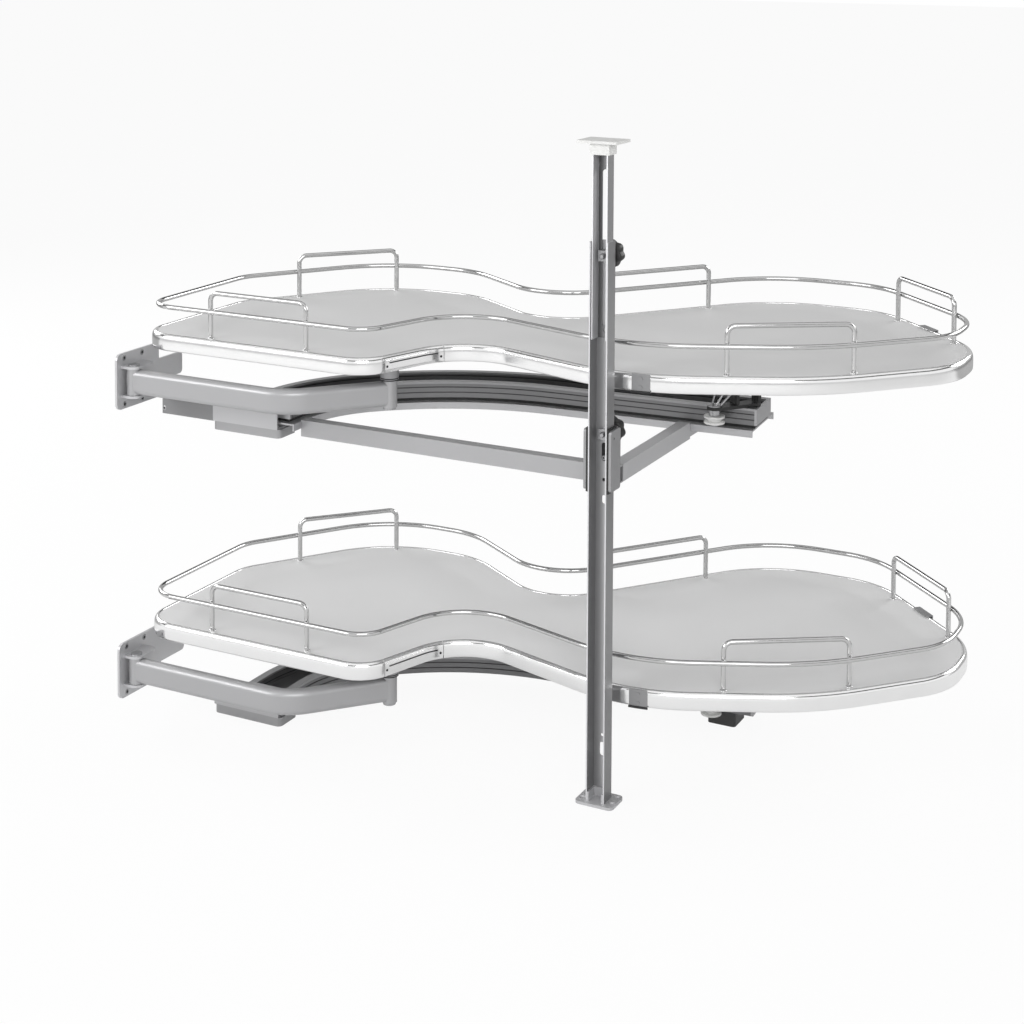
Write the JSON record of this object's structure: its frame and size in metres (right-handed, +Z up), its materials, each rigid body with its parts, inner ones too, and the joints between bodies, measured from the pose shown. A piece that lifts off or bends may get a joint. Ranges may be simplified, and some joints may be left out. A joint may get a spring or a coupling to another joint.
{
  "type": "corner cabinet swing-out unit",
  "caption": "Swing-out corner cabinet unit: lobed trays with wire galleries on bent arms, guided by curved rails and steadied by a height-adjustable post.",
  "frame": {"origin": "on the floor, at the middle of the underside of the post's foot plate", "axes": "+X along the front to the right, +Y into the cabinet, +Z up"},
  "size_m": [0.94, 0.588, 0.745],
  "materials": {
    "wall_hinge": "silver-grey satin coat",
    "hinge_pin": "turned steel",
    "guide_rail": "dark grey satin coat",
    "guide_ends": "light grey coat",
    "guide_screws": "steel screws",
    "front_plate": "silver-grey satin coat",
    "front_foot": "grey coat",
    "lower_rail_feet": "dark grey plastic",
    "rail_spacer": "black plastic",
    "rail_pan": "light silver-grey coat",
    "pan_edges": "light silver-grey coat",
    "left_bar": "silver-grey satin coat",
    "right_bar": "silver-grey satin coat",
    "post_bracket": "grey satin coat",
    "bracket_liner": "black plastic",
    "post_lower": "grey satin coat",
    "post_foot": "light grey casting",
    "clamp_nuts": "steel nuts",
    "arm": "silver-grey satin coat",
    "board": "melamine-faced board, pale grey",
    "band": "bright polished edge band",
    "band_joiner": "bright polished edge band",
    "left_rail": "bright plated wire",
    "right_rail": "bright plated wire",
    "hoops": "bright plated wire",
    "strap": "dull steel strap",
    "clip": "dull steel clip",
    "pivot_plate": "silver-grey coat",
    "pivot_boss": "dark moulded plastic",
    "pivot_pin": "turned steel",
    "roller_carrier": "black coat",
    "roller_axle": "turned steel",
    "roller": "natural nylon",
    "post_upper": "grey satin coat",
    "post_cap": "white plastic",
    "height_knob": "black plastic knob on a steel bolt",
    "bracket_knob": "black plastic knob on a steel bolt",
    "extension_bracket": "silver-grey satin coat"
  },
  "bodies": {
    "frame": {"upper_wall_hinge": "wall_hinge", "upper_hinge_pin": "hinge_pin", "upper_guide_rail": "guide_rail", "upper_guide_ends": "guide_ends", "upper_guide_screws": "guide_screws", "upper_front_plate": "front_plate", "upper_front_foot": "front_foot", "lower_wall_hinge": "wall_hinge", "lower_hinge_pin": "hinge_pin", "lower_guide_rail": "guide_rail", "lower_guide_ends": "guide_ends", "lower_guide_screws": "guide_screws", "lower_front_plate": "front_plate", "lower_front_foot": "front_foot", "lower_rail_feet": "lower_rail_feet", "rail_spacer": "rail_spacer", "rail_pan": "rail_pan", "pan_edges": "pan_edges", "left_bar": "left_bar", "right_bar": "right_bar", "post_bracket": "post_bracket", "bracket_liner": "bracket_liner", "post_lower": "post_lower", "post_foot": "post_foot", "clamp_nuts": "clamp_nuts"},
    "upper_swing_arm": {"upper_arm": "arm"},
    "upper_tray": {"upper_board": "board", "upper_band": "band", "upper_band_joiner": "band_joiner", "upper_left_rail": "left_rail", "upper_right_rail": "right_rail", "upper_hoops": "hoops", "upper_strap": "strap", "upper_clip": "clip", "upper_pivot_plate": "pivot_plate", "upper_pivot_boss": "pivot_boss", "upper_pivot_pin": "pivot_pin", "upper_roller_carrier": "roller_carrier", "upper_roller_axle": "roller_axle"},
    "upper_guide_roller": {"upper_roller": "roller"},
    "lower_swing_arm": {"lower_arm": "arm"},
    "lower_tray": {"lower_board": "board", "lower_band": "band", "lower_band_joiner": "band_joiner", "lower_left_rail": "left_rail", "lower_right_rail": "right_rail", "lower_hoops": "hoops", "lower_strap": "strap", "lower_clip": "clip", "lower_pivot_plate": "pivot_plate", "lower_pivot_boss": "pivot_boss", "lower_pivot_pin": "pivot_pin", "lower_roller_carrier": "roller_carrier", "lower_roller_axle": "roller_axle"},
    "lower_guide_roller": {"lower_roller": "roller"},
    "post_top": {"post_upper": "post_upper", "post_cap": "post_cap"},
    "height_clamp": {"height_knob": "height_knob"},
    "bracket_clamp": {"bracket_knob": "bracket_knob"},
    "side_extension": {"extension_bracket": "extension_bracket"}
  },
  "joints": [
    {"name": "upper_arm_swing", "type": "hinge", "parent": "frame", "child": "upper_swing_arm", "pos_m": [-0.585, -0.0805, 0.4255], "axis": [0, 0, -1], "range_deg": [0, 58]},
    {"name": "upper_tray_turn", "type": "hinge", "parent": "upper_swing_arm", "child": "upper_tray", "pos_m": [-0.28301, 0.016, 0.4255], "axis": [0, 0, 1], "range_deg": [0, 119]},
    {"name": "upper_roller_spin", "type": "hinge", "parent": "upper_tray", "child": "upper_guide_roller", "pos_m": [0.048, 0.2195, 0.3885], "axis": [0, 0, 1], "continuous": true},
    {"name": "lower_arm_swing", "type": "hinge", "parent": "frame", "child": "lower_swing_arm", "pos_m": [-0.585, -0.0805, 0.0685], "axis": [0, 0, -1], "range_deg": [0, 58]},
    {"name": "lower_tray_turn", "type": "hinge", "parent": "lower_swing_arm", "child": "lower_tray", "pos_m": [-0.28301, 0.016, 0.0685], "axis": [0, 0, 1], "range_deg": [0, 119]},
    {"name": "lower_roller_spin", "type": "hinge", "parent": "lower_tray", "child": "lower_guide_roller", "pos_m": [0.048, 0.2195, 0.0315], "axis": [0, 0, 1], "continuous": true},
    {"name": "post_height", "type": "slide", "parent": "frame", "child": "post_top", "axis": [0, 0, 1], "range_m": [-0.085, 0.055]},
    {"name": "height_knob_turn", "type": "hinge", "parent": "frame", "child": "height_clamp", "pos_m": [0, 0.0215, 0.616], "axis": [0, 1, 0], "continuous": true},
    {"name": "bracket_knob_turn", "type": "hinge", "parent": "frame", "child": "bracket_clamp", "pos_m": [0, 0.0215, 0.416], "axis": [0, 1, 0], "continuous": true},
    {"name": "extension_slide", "type": "slide", "parent": "frame", "child": "side_extension", "axis": [-1, 0, 0], "range_m": [0, 0.04]}
  ],
  "couplings": [
    {"joint": "upper_tray_turn", "follows": "upper_arm_swing", "ratio": 2.05},
    {"joint": "lower_tray_turn", "follows": "lower_arm_swing", "ratio": 2.05}
  ]
}
